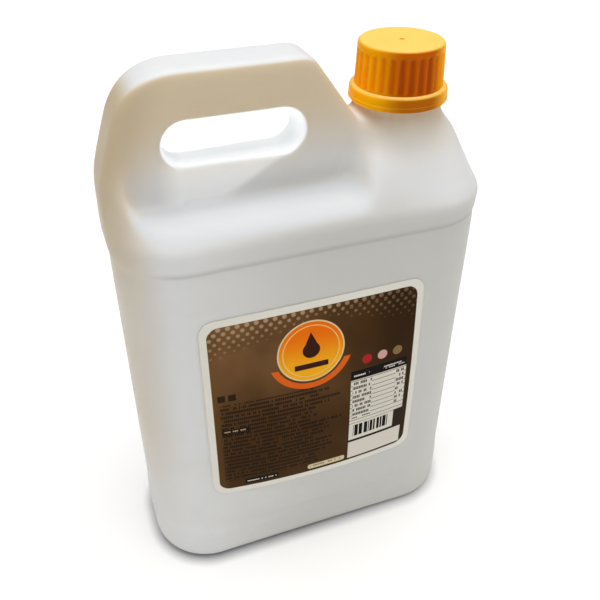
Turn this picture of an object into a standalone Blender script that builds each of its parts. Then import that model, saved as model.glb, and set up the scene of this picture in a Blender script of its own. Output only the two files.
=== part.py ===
"""A five-litre soy sauce can: a blow-moulded jug with a moulded-in handle, a screw cap, its tamper ring and a label.

X runs from the handle to the cap, the label faces -Y, and Z goes up from the middle of the base. Metres.
"""

import math

import bmesh
import bpy
import numpy as np

MM = 0.001

# Body of the jug
HALF_WIDTH = 108.0 * MM
HALF_DEPTH = 48.3 * MM
CORNER = 38.1 * MM
BASE_FILLET = 8.2 * MM
SKIRT_TOP = 30.9 * MM
PANEL_TOP = 234.5 * MM
PANEL_INSET = 1.1 * MM
PANEL_STEP = 2.1 * MM

# The filled panel swells like a pillow
BULGE = 9.3 * MM
BULGE_CENTRE = 91.5 * MM
BULGE_HALF_WIDTH = 90.5 * MM
BULGE_RISE = 121.4 * MM
BULGE_DROP = 63.8 * MM

# Shoulder: a steep roof over the body, with rounded hips
EAVES = 247.4 * MM
EAVES_ROUNDING = 3.6 * MM
ROOF_RISE_PER_RUN = 1.15
RIDGE = 289.0 * MM
HIP_START = 240.7 * MM
HIP_INSET = 19.5 * MM
HIP_POWER = 1.7
LEAN_START = 273.6 * MM
LEAN_SOFTNESS = 8.2 * MM
LEAN = 0.36
HANDLE_PROUD = 1.4 * MM

# Finger pockets beside the handle, one in front and one behind
POCKET_FLOOR = 254.9 * MM
POCKET_FILLET = 8.2 * MM
POCKET_LEFT = -95.7 * MM
POCKET_LEFT_FILLET = 1.7
POCKET_LEFT_RADIUS = 12.3 * MM
POCKET_RIGHT = 28.3 * MM
POCKET_RIGHT_LEAN = 0.45
POCKET_RIGHT_RADIUS = 17.5 * MM
WEB_HALF = 13.1 * MM

# A three-sided scoop under the slot: its corners, each as X, distance from the middle plane, Z
SCOOP_FOOT = (-67.0 * MM, 13.4 * MM, 257.0 * MM)
SCOOP_LEFT = (-76.0 * MM, 10.3 * MM, 283.0 * MM)
SCOOP_RIGHT = (-6.0 * MM, 11.6 * MM, 280.0 * MM)

# Handle: a flat plate with a slot for the fingers
BAR_HALF = 15.9 * MM
BAR_EDGE = 5.1 * MM
HANDLE_TOP = 327.9 * MM
HANDLE_ROOT = 246.9 * MM
HANDLE_LEFT_RADIUS = 30.9 * MM
HANDLE_LEFT_TURN = 160.0
HANDLE_RIGHT_RADIUS = 13.4 * MM
DIAGONAL_TOP_X = 4.6 * MM
DIAGONAL_FOOT = (41.1 * MM, 277.7 * MM)
SLOT_LEFT = -75.1 * MM
SLOT_RIGHT = 1.0 * MM
SLOT_FLOOR = 277.2 * MM
SLOT_CEILING = 302.4 * MM

# Neck, ring and cap share one axis
NECK_X = 60.7 * MM
NECK_RADIUS = 23.7 * MM
NECK_FOOT_RADIUS = 28.3 * MM
NECK_FOOT = 259.2 * MM
NECK_UPRIGHT = 287.0 * MM
NECK_TOP = 303.6 * MM
GAP = 0.3 * MM
RING_BOTTOM = 295.7 * MM
RING_TOP = 303.6 * MM
RING_RADIUS = 27.5 * MM
RING_TAPER = 0.72 * MM
CAP_TOP = 326.9 * MM
CAP_FOOT_RADIUS = 24.5 * MM
CAP_HEAD_RADIUS = 23.5 * MM
CAP_FACE_RADIUS = 21.8 * MM
CAP_EDGE = 2.3 * MM
RIBS = 28
RIB_DEPTH = 0.57 * MM

# Label, a thin bowed plate that stands just off the panel. Its size includes the pale margin round the print.
LABEL_LEFT = -73.3 * MM
LABEL_RIGHT = 63.5 * MM
LABEL_BOTTOM = 68.1 * MM
LABEL_TOP = 203.9 * MM
LABEL_CORNER = 9.0 * MM
LABEL_THICKNESS = 0.5 * MM

# Fineness of the meshes
CORNER_STEPS = 9
SIDE_STEPS = 14
VOXEL = 2.0 * MM
JUG_TRIANGLES = 8600
SMOOTH_ROUNDS = 7


def clear_scene():
    """Empty the scene, so that only this model is in it."""
    for obj in list(bpy.data.objects):
        bpy.data.objects.remove(obj, do_unlink=True)


def material(name, colour, roughness, metallic=0.0):
    """A plain Principled material in the part's colour."""
    made = bpy.data.materials.new(name)
    made.use_nodes = True
    shader = made.node_tree.nodes["Principled BSDF"]
    shader.inputs["Base Color"].default_value = (*colour, 1.0)
    shader.inputs["Roughness"].default_value = roughness
    shader.inputs["Metallic"].default_value = metallic
    made.diffuse_color = (*colour, 1.0)
    return made


def place(name, bm, finish=None):
    """Turn a bmesh into a named object with its faces outward."""
    bmesh.ops.recalc_face_normals(bm, faces=bm.faces)
    mesh = bpy.data.meshes.new(name)
    bm.to_mesh(mesh)
    bm.free()
    obj = bpy.data.objects.new(name, mesh)
    bpy.context.scene.collection.objects.link(obj)
    if finish:
        obj.data.materials.append(finish)
    return obj


def skin(name, rings, finish=None):
    """Join a stack of equal rings of points into one closed body with flat ends."""
    bm = bmesh.new()
    stack = [[bm.verts.new(point) for point in ring] for ring in rings]
    count = len(stack[0])
    for low, high in zip(stack, stack[1:]):
        for i in range(count):
            j = (i + 1) % count
            bm.faces.new((low[i], low[j], high[j], high[i]))
    bm.faces.new(stack[0][::-1])
    bm.faces.new(stack[-1])
    return place(name, bm, finish)


def arc(centre_x, centre_y, radius, start, end, steps):
    """Points on an arc, angles in degrees, as rows of two numbers."""
    angle = np.radians(np.linspace(start, end, steps + 1))
    return np.column_stack([centre_x + radius * np.cos(angle), centre_y + radius * np.sin(angle)])


def at_height(plan, height):
    """Lift a plan outline to a height."""
    return np.column_stack([plan, np.full(len(plan), height)])


def circle_ring(radius, height, steps):
    """A round ring about the neck's axis."""
    return at_height(arc(NECK_X, 0, radius, 0, 360, steps)[:-1], height)


def soft_positive(value, softness):
    """The larger of the value and nought, with the corner between them rounded."""
    return 0.5 * (value + np.sqrt(value**2 + softness**2)) - 0.5 * softness


def pillow(x, z):
    """How far the filled panel stands out at a place on it: a dome across and up the panel."""
    across = soft_positive(1 - (x / BULGE_HALF_WIDTH) ** 2, 0.12)
    above = soft_positive(1 - (max(z - BULGE_CENTRE, 0) / BULGE_RISE) ** 2, 0.06)
    below = soft_positive(1 - (max(BULGE_CENTRE - z, 0) / BULGE_DROP) ** 3, 0.06)
    return BULGE * across * min(above, below)


def body_plan(low_x, high_x, half_depth, z):
    """The can's outline at a height: a rounded rectangle whose long sides bow out with the panel."""
    corner = min(CORNER - (HALF_DEPTH - half_depth) * 0.2, half_depth - 0.5 * MM)
    side = np.linspace(low_x + corner, high_x - corner, SIDE_STEPS + 1)[1:-1]
    near = np.column_stack([side, np.full(len(side), -half_depth)])
    outline = np.concatenate(
        [
            arc(high_x - corner, half_depth - corner, corner, 0, 90, CORNER_STEPS),
            near[::-1] * (1, -1),
            arc(low_x + corner, half_depth - corner, corner, 90, 180, CORNER_STEPS),
            arc(low_x + corner, corner - half_depth, corner, 180, 270, CORNER_STEPS),
            near,
            arc(high_x - corner, corner - half_depth, corner, 270, 360, CORNER_STEPS),
        ]
    )
    outline[:, 1] += np.sign(outline[:, 1]) * pillow(outline[:, 0], z)
    return at_height(outline, z)


def straight_ring(inset, z):
    """A ring of the upright part of the can."""
    return body_plan(inset - HALF_WIDTH, HALF_WIDTH - inset, HALF_DEPTH - inset, z)


def handle_side(z):
    """Where the can's handle end stands at a height: a little proud of the body, then leaning in."""
    over = soft_positive(z - LEAN_START, LEAN_SOFTNESS) + 0.5 * LEAN_SOFTNESS
    return LEAN * over - HALF_WIDTH - HANDLE_PROUD


def roof_ring(half_depth, z):
    """A ring of the shoulder: the cap's end is hipped, and the handle's end leans in higher up."""
    hip = HIP_INSET * max((z - HIP_START) / (RIDGE - HIP_START), 0) ** HIP_POWER
    return body_plan(handle_side(z), HALF_WIDTH - hip, half_depth, z)


def build_block():
    """The whole can without pockets: base fillet, skirt, recessed panel, band, eaves and roof."""
    rings = []
    for angle in np.radians(np.linspace(0, 90, 6)):
        inset = BASE_FILLET * (1 - math.sin(angle))
        rings.append(straight_ring(inset, BASE_FILLET * (1 - math.cos(angle))))
    rings[0][:, 2] -= 2 * MM
    rings.append(straight_ring(0, SKIRT_TOP))
    for z in np.linspace(SKIRT_TOP + PANEL_STEP, PANEL_TOP, 15):
        rings.append(straight_ring(PANEL_INSET, z))
    rings.append(straight_ring(0, PANEL_TOP + PANEL_STEP))
    eaves_run = EAVES_ROUNDING / ROOF_RISE_PER_RUN
    rings.append(roof_ring(HALF_DEPTH, EAVES - 0.7 * EAVES_ROUNDING))
    rings.append(roof_ring(HALF_DEPTH - 0.25 * eaves_run, EAVES))
    for z in np.linspace(EAVES + EAVES_ROUNDING, RIDGE - 4 * MM, 8):
        rings.append(roof_ring(HALF_DEPTH - (z - EAVES) / ROOF_RISE_PER_RUN, z))
    rings.append(roof_ring(8 * MM, RIDGE))
    return skin("jug", rings)


def pocket_ring(inset, web_half, side, z):
    """A pocket's outline at a height: straight along the web, with round ends, the right one leaning out."""
    web = -web_half - inset
    left = POCKET_LEFT + POCKET_LEFT_FILLET * inset
    right = POCKET_RIGHT + POCKET_RIGHT_LEAN * (z - POCKET_FLOOR) - inset
    reach = -HALF_DEPTH - 40 * MM
    outline = np.concatenate(
        [
            [(left, reach)],
            arc(left + POCKET_LEFT_RADIUS, web - POCKET_LEFT_RADIUS, POCKET_LEFT_RADIUS, 180, 90, 5),
            arc(right - POCKET_RIGHT_RADIUS, web - POCKET_RIGHT_RADIUS, POCKET_RIGHT_RADIUS, 90, 0, 6),
            [(right, reach)],
        ]
    )
    return at_height(outline * (1, side), z)


def build_pocket(side):
    """Cutter for one pocket, with a rounded foot. Higher up it leaves the thicker bar of the handle."""
    rings = []
    for angle in np.radians((0, 30, 60, 90)):
        inset = POCKET_FILLET * (1 - math.sin(angle))
        height = POCKET_FLOOR + POCKET_FILLET * (1 - math.cos(angle))
        rings.append(pocket_ring(inset, WEB_HALF, side, height))
    for height, half in ((SLOT_FLOOR, WEB_HALF), (SLOT_CEILING, BAR_HALF), (HANDLE_TOP, BAR_HALF + 2 * MM)):
        rings.append(pocket_ring(0, half, side, height))
    return skin("pocket_cutter", rings)


def build_scoop(side):
    """Cutter for the scoop: a three-sided face that leans back from its foot, carried out past the web."""
    bm = bmesh.new()
    for x, out, z in (SCOOP_FOOT, SCOOP_LEFT, SCOOP_RIGHT):
        bm.verts.new((x, -out * side, z))
        bm.verts.new((x, -(out + 2 * WEB_HALF) * side, z))
    bmesh.ops.convex_hull(bm, input=bm.verts)
    return place("scoop_cutter", bm)


def plate(name, outline, half_thickness):
    """An outline seen from the front, made into a plate across Y."""
    near = np.insert(outline, 1, -half_thickness, axis=1)
    far = np.insert(outline, 1, half_thickness, axis=1)
    return skin(name, [near, far])


def build_handle():
    """The handle's plate: a leaning left side, round corners, and a slanting end towards the neck."""
    slant = math.degrees(math.atan2(HANDLE_TOP - DIAGONAL_FOOT[1], DIAGONAL_FOOT[0] - DIAGONAL_TOP_X))
    top_x = DIAGONAL_TOP_X - HANDLE_RIGHT_RADIUS * math.tan(math.radians(slant / 2))
    turn = math.radians(HANDLE_LEFT_TURN)
    centre_z = HANDLE_TOP - HANDLE_LEFT_RADIUS
    turn_z = centre_z + HANDLE_LEFT_RADIUS * math.sin(turn)
    centre_x = handle_side(turn_z) - HANDLE_LEFT_RADIUS * math.cos(turn)
    side = [(handle_side(z), z) for z in np.linspace(turn_z, HANDLE_ROOT, 9)[1:]]
    outline = np.concatenate(
        [
            [(DIAGONAL_FOOT[0], HANDLE_ROOT), DIAGONAL_FOOT],
            arc(top_x, HANDLE_TOP - HANDLE_RIGHT_RADIUS, HANDLE_RIGHT_RADIUS, 90 - slant, 90, 5),
            arc(centre_x, centre_z, HANDLE_LEFT_RADIUS, 90, HANDLE_LEFT_TURN, 8),
            side,
        ]
    )
    handle = plate("handle_plate", outline, BAR_HALF)
    bevel = handle.modifiers.new("edges", "BEVEL")
    bevel.width = BAR_EDGE
    bevel.segments = 3
    bevel.limit_method = "ANGLE"
    bevel.angle_limit = math.radians(50)
    return handle


def build_slot():
    """Cutter for the finger slot, with half-round ends."""
    radius = (SLOT_CEILING - SLOT_FLOOR) / 2
    middle = (SLOT_CEILING + SLOT_FLOOR) / 2
    outline = np.concatenate(
        [
            arc(SLOT_RIGHT - radius, middle, radius, -90, 90, 12),
            arc(SLOT_LEFT + radius, middle, radius, 90, 270, 12),
        ]
    )
    return plate("slot_cutter", outline, HALF_DEPTH)


def build_neck():
    """The neck: upright at the top, and flaring downward into the shoulder."""
    rings = [
        circle_ring(NECK_FOOT_RADIUS, NECK_FOOT, 48),
        circle_ring(NECK_RADIUS, NECK_UPRIGHT, 48),
        circle_ring(NECK_RADIUS, NECK_TOP, 48),
    ]
    return skin("neck_shape", rings)


def boolean(target, other, operation):
    """Apply a Boolean and delete the other shape."""
    modifier = target.modifiers.new(other.name, "BOOLEAN")
    modifier.operation = operation
    modifier.solver = "EXACT"
    modifier.object = other
    apply_modifiers(target)
    bpy.data.objects.remove(other, do_unlink=True)


def apply_modifiers(obj):
    """Replace an object's mesh with what its modifiers make of it."""
    graph = bpy.context.evaluated_depsgraph_get()
    mesh = bpy.data.meshes.new_from_object(obj.evaluated_get(graph))
    obj.modifiers.clear()
    obj.data = mesh


def build_jug(finish):
    """Cut and join the jug's shapes, then melt their edges together as blow moulding does."""
    jug = build_block()
    handle = build_handle()
    apply_modifiers(handle)
    boolean(jug, handle, "UNION")
    for side in (1, -1):
        boolean(jug, build_pocket(side), "DIFFERENCE")
        boolean(jug, build_scoop(side), "DIFFERENCE")
    boolean(jug, build_slot(), "DIFFERENCE")
    boolean(jug, build_neck(), "UNION")

    remesh = jug.modifiers.new("melt", "REMESH")
    remesh.mode = "VOXEL"
    remesh.voxel_size = VOXEL
    soften = jug.modifiers.new("soften", "SMOOTH")
    soften.factor = 0.5
    soften.iterations = SMOOTH_ROUNDS
    apply_modifiers(jug)

    thin = jug.modifiers.new("thin", "DECIMATE")
    thin.ratio = JUG_TRIANGLES / (2 * len(jug.data.polygons))
    apply_modifiers(jug)
    bpy.ops.mesh.primitive_cube_add(size=1, location=(0, 0, -0.5))
    floor = bpy.context.active_object
    floor.name = "floor_cutter"
    boolean(jug, floor, "DIFFERENCE")
    bpy.ops.mesh.primitive_cylinder_add(
        vertices=64, radius=NECK_RADIUS + GAP, depth=10 * MM, location=(NECK_X, 0, NECK_TOP + 5 * MM)
    )
    trim = bpy.context.active_object
    trim.name = "neck_trim"
    boolean(jug, trim, "DIFFERENCE")
    jug.data.materials.clear()
    jug.data.materials.append(finish)
    jug.data.shade_smooth()
    return jug


def build_ring(finish):
    """The tamper ring: a flange round the neck under the cap."""
    steps = 72
    inner = NECK_RADIUS + GAP
    rings = [
        circle_ring(inner, RING_BOTTOM, steps),
        circle_ring(RING_RADIUS - 0.5 * MM, RING_BOTTOM, steps),
        circle_ring(RING_RADIUS, RING_BOTTOM + 0.7 * MM, steps),
        circle_ring(RING_RADIUS - RING_TAPER * 0.5, RING_TOP - 1.2 * MM, steps),
        circle_ring(RING_RADIUS - RING_TAPER - 0.8 * MM, RING_TOP, steps),
        circle_ring(inner, RING_TOP, steps),
    ]
    bm = bmesh.new()
    loops = [[bm.verts.new(point) for point in ring] for ring in rings]
    for low, high in zip(loops, loops[1:] + loops[:1]):
        for i in range(steps):
            j = (i + 1) % steps
            bm.faces.new((low[i], low[j], high[j], high[i]))
    ring = place("tamper_ring", bm, finish)
    ring.data.shade_smooth()
    ring.data.set_sharp_from_angle(angle=math.radians(35))
    return ring


def build_cap(finish):
    """The screw cap: a slightly tapering wall with upright ribs under a flat top with a round edge."""
    steps = RIBS * 6
    angle = np.linspace(0, 2 * math.pi, steps, endpoint=False)
    wave = 0.5 * (1 + np.cos(RIBS * angle))

    def ribbed(radius, height, depth):
        around = radius - depth * (1 - wave)
        plan = np.column_stack([NECK_X + around * np.cos(angle), around * np.sin(angle)])
        return at_height(plan, height)

    foot = RING_TOP + GAP
    rib_end = CAP_TOP - 2.0 * CAP_EDGE
    rings = [
        ribbed(CAP_FOOT_RADIUS, foot, RIB_DEPTH),
        ribbed(CAP_HEAD_RADIUS, rib_end, RIB_DEPTH),
        ribbed(CAP_HEAD_RADIUS - 0.1 * MM, CAP_TOP - CAP_EDGE * 0.8, 0.25 * RIB_DEPTH),
        ribbed(CAP_HEAD_RADIUS - 0.7 * MM, CAP_TOP - 0.3 * MM, 0),
        ribbed(CAP_FACE_RADIUS, CAP_TOP, 0),
    ]
    cap = skin("cap", rings, finish)
    cap.data.shade_smooth()
    cap.data.set_sharp_from_angle(angle=math.radians(35))
    return cap


def build_label(finish):
    """The label: a rounded rectangle that follows the panel's swell, with even thickness."""
    stand_off = HALF_DEPTH - PANEL_INSET + 0.35 * MM
    corners = [
        arc(LABEL_RIGHT - LABEL_CORNER, LABEL_TOP - LABEL_CORNER, LABEL_CORNER, 0, 90, 3),
        arc(LABEL_LEFT + LABEL_CORNER, LABEL_TOP - LABEL_CORNER, LABEL_CORNER, 90, 180, 3),
        arc(LABEL_LEFT + LABEL_CORNER, LABEL_BOTTOM + LABEL_CORNER, LABEL_CORNER, 180, 270, 3),
        arc(LABEL_RIGHT - LABEL_CORNER, LABEL_BOTTOM + LABEL_CORNER, LABEL_CORNER, 270, 360, 3),
    ]
    bm = bmesh.new()
    outline = [bm.verts.new((x, 0, z)) for x, z in np.concatenate(corners)]
    sheet = bm.faces.new(outline)
    sheet.normal_update()
    for axis, low, high in ((0, LABEL_LEFT, LABEL_RIGHT), (2, LABEL_BOTTOM, LABEL_TOP)):
        for cut in np.linspace(low, high, 15)[1:-1]:
            bmesh.ops.bisect_plane(
                bm,
                geom=bm.verts[:] + bm.edges[:] + bm.faces[:],
                plane_co=[cut if i == axis else 0 for i in range(3)],
                plane_no=[1 if i == axis else 0 for i in range(3)],
            )
    for vert in bm.verts:
        vert.co.y = -stand_off - pillow(vert.co.x, vert.co.z)
    extruded = bmesh.ops.extrude_face_region(bm, geom=bm.faces[:])
    for item in extruded["geom"]:
        if isinstance(item, bmesh.types.BMVert):
            item.co.y -= LABEL_THICKNESS
    return place("label", bm, finish)


def main():
    clear_scene()
    build_jug(material("white_hdpe", (0.80, 0.80, 0.78), 0.35))
    orange = material("amber_polyethylene", (0.90, 0.32, 0.01), 0.3)
    build_ring(orange)
    build_cap(orange)
    build_label(material("brown_label_film", (0.06, 0.03, 0.015), 0.4))


main()
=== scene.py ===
"""A five-litre plastic can of soy sauce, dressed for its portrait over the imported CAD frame.

The jug is one smooth level surface, worked out from distances to simple shapes that melt into each
other as blow moulding does. The cap, its tamper ring and the label are surfaces of two parameters.
Sizes in the classes are millimetres in the CAD frame: X from the handle to the cap, the label faces
-Y, and Z goes up from the middle of the base.
"""

import logging
import math
from dataclasses import dataclass
from enum import Enum
from itertools import product
from typing import Callable

import bpy
import numpy as np
from mathutils import Matrix, Vector


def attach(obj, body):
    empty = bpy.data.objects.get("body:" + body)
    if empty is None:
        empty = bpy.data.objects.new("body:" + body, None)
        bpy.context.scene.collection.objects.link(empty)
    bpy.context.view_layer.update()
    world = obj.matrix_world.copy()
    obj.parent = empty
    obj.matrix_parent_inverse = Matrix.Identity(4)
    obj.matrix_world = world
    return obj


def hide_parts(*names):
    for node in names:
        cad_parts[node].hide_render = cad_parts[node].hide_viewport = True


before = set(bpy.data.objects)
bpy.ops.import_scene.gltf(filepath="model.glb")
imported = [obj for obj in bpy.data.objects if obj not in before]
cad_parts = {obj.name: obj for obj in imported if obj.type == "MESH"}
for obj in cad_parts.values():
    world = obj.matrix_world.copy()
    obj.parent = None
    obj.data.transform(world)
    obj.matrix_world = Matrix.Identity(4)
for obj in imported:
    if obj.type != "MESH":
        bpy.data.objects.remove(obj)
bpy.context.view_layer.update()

Array = np.ndarray
Field = Callable[[Array, Array, Array], Array]
Finish = bpy.types.Material
Pair = tuple[float, float]
Triple = tuple[float, float, float]

MM = 0.001
ROOT = "root"
log = logging.getLogger("soy_sauce_can")


# Helpers: numbers


def linear(hex_colour: str) -> tuple[float, float, float, float]:
    """Turn an sRGB hex colour into linear red, green and blue, with an alpha of one.

    Args:
        hex_colour: A hash sign and six hex digits.

    Returns:
        Red, green, blue and alpha.
    """
    channels = [int(hex_colour[i : i + 2], 16) / 255 for i in (1, 3, 5)]
    red, green, blue = [c / 12.92 if c <= 0.04045 else ((c + 0.055) / 1.055) ** 2.4 for c in channels]
    return red, green, blue, 1.0


def ramp(value: Array, low: float, high: float) -> Array:
    """Rise smoothly from nought at low to one at high, as three t squared less two t cubed."""
    t = np.clip((value - low) / (high - low), 0, 1)
    return t * t * (3 - 2 * t)


def soft_positive(value: Array, softness: float) -> Array:
    """Give the larger of value and nought, rounded: half the sum of value and its hypotenuse."""
    return 0.5 * (value + np.sqrt(value * value + softness * softness))


def melt_max(a: Array, b: Array, reach: Array | float) -> Array:
    """Give the larger of two fields, with the crease rounded where they differ by less than reach.

    The rounding adds a quarter of reach times the square of one less their difference over reach.
    """
    near = np.clip(1 - np.abs(a - b) / reach, 0, None)
    return np.maximum(a, b) + 0.25 * reach * near * near


def melt_min(a: Array, b: Array, reach: Array | float) -> Array:
    """Give the smaller of two fields, with the crease filled in where they differ by less than reach."""
    return -melt_max(-a, -b, reach)


# Helpers: meshes


def put(name: str, data: bpy.types.ID) -> bpy.types.Object:
    """Put a new object that holds the data in the scene, at the origin.

    Args:
        name: The object's name.
        data: Its mesh, light or camera.

    Returns:
        The linked object.
    """
    made = bpy.data.objects.new(name, data)
    bpy.context.scene.collection.objects.link(made)
    return made


def make_object(name: str, points: Array, faces: Array) -> bpy.types.Object:
    """Put points and faces of four corners into a new object at the origin.

    Args:
        name: The piece's name.
        points: Rows of X, Y, Z in millimetres.
        faces: Rows of four point numbers, or three with the last one repeated.

    Returns:
        The linked object, its mesh smooth and in metres.
    """
    mesh = bpy.data.meshes.new(name)
    corners = np.where(faces[:, 3] == faces[:, 2], 3, 4)
    starts = np.concatenate([[0], np.cumsum(corners)[:-1]])
    loops = faces[np.arange(4)[None, :] < corners[:, None]]
    mesh.vertices.add(len(points))
    mesh.vertices.foreach_set("co", (points * MM).astype(np.float32).ravel())
    mesh.loops.add(len(loops))
    mesh.loops.foreach_set("vertex_index", loops.astype(np.int32))
    mesh.polygons.add(len(faces))
    mesh.polygons.foreach_set("loop_start", starts.astype(np.int32))
    mesh.polygons.foreach_set("use_smooth", np.full(len(faces), True))
    mesh.update(calc_edges=True)
    mesh.validate()
    return put(name, mesh)


def grid_faces(rows: int, columns: int, round_columns: bool = False, round_rows: bool = False) -> Array:
    """Number the four-cornered faces of a grid of points that is stored row by row.

    Args:
        rows: How many rows of points.
        columns: How many points in a row.
        round_columns: Whether each row closes on itself.
        round_rows: Whether the last row meets the first.

    Returns:
        Rows of four point numbers.
    """
    row = np.arange(rows if round_rows else rows - 1)
    column = np.arange(columns if round_columns else columns - 1)
    i, j = [part.ravel() for part in np.meshgrid(row, column, indexing="ij")]
    down, across = (i + 1) % rows, (j + 1) % columns
    here, below = i * columns, down * columns
    return np.column_stack([here + j, here + across, below + across, below + j])


def close_poles(wall: Array) -> tuple[Array, Array]:
    """Close a tube of rings with a fan of triangles at each end.

    Args:
        wall: Points as ring, place on the ring, and X, Y, Z, the lowest ring first.

    Returns:
        The points, with the two middle points last, and the faces.
    """
    rings, steps = wall.shape[:2]
    points = np.concatenate([wall.reshape(-1, 3), [wall[0].mean(axis=0)], [wall[-1].mean(axis=0)]])
    j = np.arange(steps)
    after = (j + 1) % steps
    top, pole = (rings - 1) * steps, np.full(steps, rings * steps)
    low = np.column_stack([after, j, pole, pole])
    high = np.column_stack([top + j, top + after, pole + 1, pole + 1])
    return points, np.concatenate([grid_faces(rings, steps, round_columns=True), low, high])


def level_surface(field: Field, low: Array, high: Array, pitch: float) -> tuple[Array, Array]:
    """Mesh the surface where a field is nought, with one point in each cell that the surface crosses.

    Each point starts at the mean of the places where its cell's edges cross nought, and settles from
    there. Each grid edge that the surface crosses gives one face between its four cells.

    Args:
        field: Negative inside, in millimetres, from arrays of X, Y and Z.
        low: Lowest corner of the grid.
        high: Highest corner of the grid.
        pitch: Side of a cell.

    Returns:
        The points and the faces, facing the way the field grows.
    """
    axes = [np.arange(a, b + pitch, pitch) for a, b in zip(low, high)]
    value = field(axes[0][:, None, None], axes[1][None, :, None], axes[2][None, None, :])
    cells = tuple(n - 1 for n in value.shape)

    def corner(offset: tuple[int, int, int]) -> tuple[slice, ...]:
        """Give the slices that hold one corner of every cell."""
        return tuple(slice(o, o + n) for o, n in zip(offset, cells))

    inside = value < 0
    count = sum(inside[corner(offset)].astype(np.int8) for offset in product((0, 1), repeat=3))
    active = (count > 0) & (count < 8)
    number = np.full(cells, -1)
    number[active] = np.arange(active.sum())

    total, found = np.zeros((active.sum(), 3)), np.zeros(active.sum())
    for axis, first, second in product(range(3), (0, 1), (0, 1)):
        start = np.insert(np.array([first, second]), axis, 0)
        end = start + np.eye(3, dtype=int)[axis]
        a, b = value[corner(tuple(start))][active], value[corner(tuple(end))][active]
        crossed = (a < 0) != (b < 0)
        share = np.where(crossed, a / np.where(crossed, a - b, 1), 0)
        place = start + share[:, None] * np.eye(3)[axis]
        total += place * crossed[:, None]
        found += crossed
    cell = np.argwhere(active)
    points = (cell + total / found[:, None]) * pitch + [axis[0] for axis in axes]
    points = settle(field, points, pitch)

    faces = []
    for axis in range(3):
        one, two = [other for other in range(3) if other != axis]
        behind = np.moveaxis(inside, (axis, one, two), (0, 1, 2))
        numbers = np.moveaxis(number, (axis, one, two), (0, 1, 2))
        a, b = behind[:-1, 1:-1, 1:-1], behind[1:, 1:-1, 1:-1]
        around = [numbers[:, :-1, :-1], numbers[:, 1:, :-1], numbers[:, 1:, 1:], numbers[:, :-1, 1:]]
        for crossed, outward in ((a & ~b, axis != 1), (~a & b, axis == 1)):
            quads = np.column_stack([part[crossed] for part in around])
            faces.append(quads if outward else quads[:, ::-1])
    return points, np.concatenate(faces)


def settle(field: Field, points: Array, limit: float, rounds: int = 4) -> Array:
    """Step points along a field's slope to where the field is nought.

    Args:
        field: The field in millimetres.
        points: Rows of X, Y, Z.
        limit: The longest step.
        rounds: How many steps.

    Returns:
        The moved points.
    """
    reach = 0.05
    for _ in range(rounds):
        here = field(*points.T)
        shifted = [points + reach * np.eye(3)[axis] for axis in range(3)]
        slope = np.column_stack([(field(*place.T) - here) / reach for place in shifted])
        steep = np.maximum((slope * slope).sum(axis=1), 0.05)
        step = (here / steep)[:, None] * slope
        length = np.linalg.norm(step, axis=1, keepdims=True)
        points = points - step * np.minimum(1, limit / np.maximum(length, 1e-9))
    return points


# Helpers: materials


def sign(operation: str, turned: bool = False) -> Callable:
    """Make the method behind a sign of arithmetic, with its two sides turned round if asked.

    Args:
        operation: The Math node's operation.
        turned: Whether the other side comes first.

    Returns:
        The method.
    """

    def method(self: "Signal", other: "Signal | float" = 0.0) -> "Signal":
        """Add the node that works the sign out."""
        sides = (other, self) if turned else (self, other)
        return self.shade.add("Math", "Value", {"operation": operation}, i0=sides[0], i1=sides[1])

    return method


@dataclass(eq=False)
class Signal:
    """One output of a node. The usual signs of arithmetic add the nodes that work it out further."""

    shade: "Shade"
    node: bpy.types.Node
    output: str | int

    __add__ = __radd__ = sign("ADD")
    __mul__ = __rmul__ = sign("MULTIPLY")
    __sub__, __rsub__ = sign("SUBTRACT"), sign("SUBTRACT", turned=True)
    __truediv__, __mod__, __pow__ = sign("DIVIDE"), sign("MODULO"), sign("POWER")
    __lt__, __gt__, __abs__ = sign("LESS_THAN"), sign("GREATER_THAN"), sign("ABSOLUTE")
    larger, smaller, whole, part = sign("MAXIMUM"), sign("MINIMUM"), sign("FLOOR"), sign("FRACT")
    root, turn_from = sign("SQRT"), sign("ARCTAN2")

    def smooth(self, low: float, high: float, start: float = 0.0, end: float = 1.0) -> "Signal":
        """Map smoothly from the range low to high to the range start to end."""
        ends = {"From_Min": low, "From_Max": high, "To_Min": start, "To_Max": end}
        return self.shade.add("MapRange", "Result", {"interpolation_type": "SMOOTHSTEP"}, Value=self, **ends)

    def fall(self, low: float, high: float) -> "Signal":
        """Fall smoothly from one at low to nought at high."""
        return self.smooth(low, high, 1.0, 0.0)


def span(across: Signal, along: Signal) -> Signal:
    """Give the length of the hypotenuse over two sides."""
    return (across * across + along * along).root()


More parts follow.
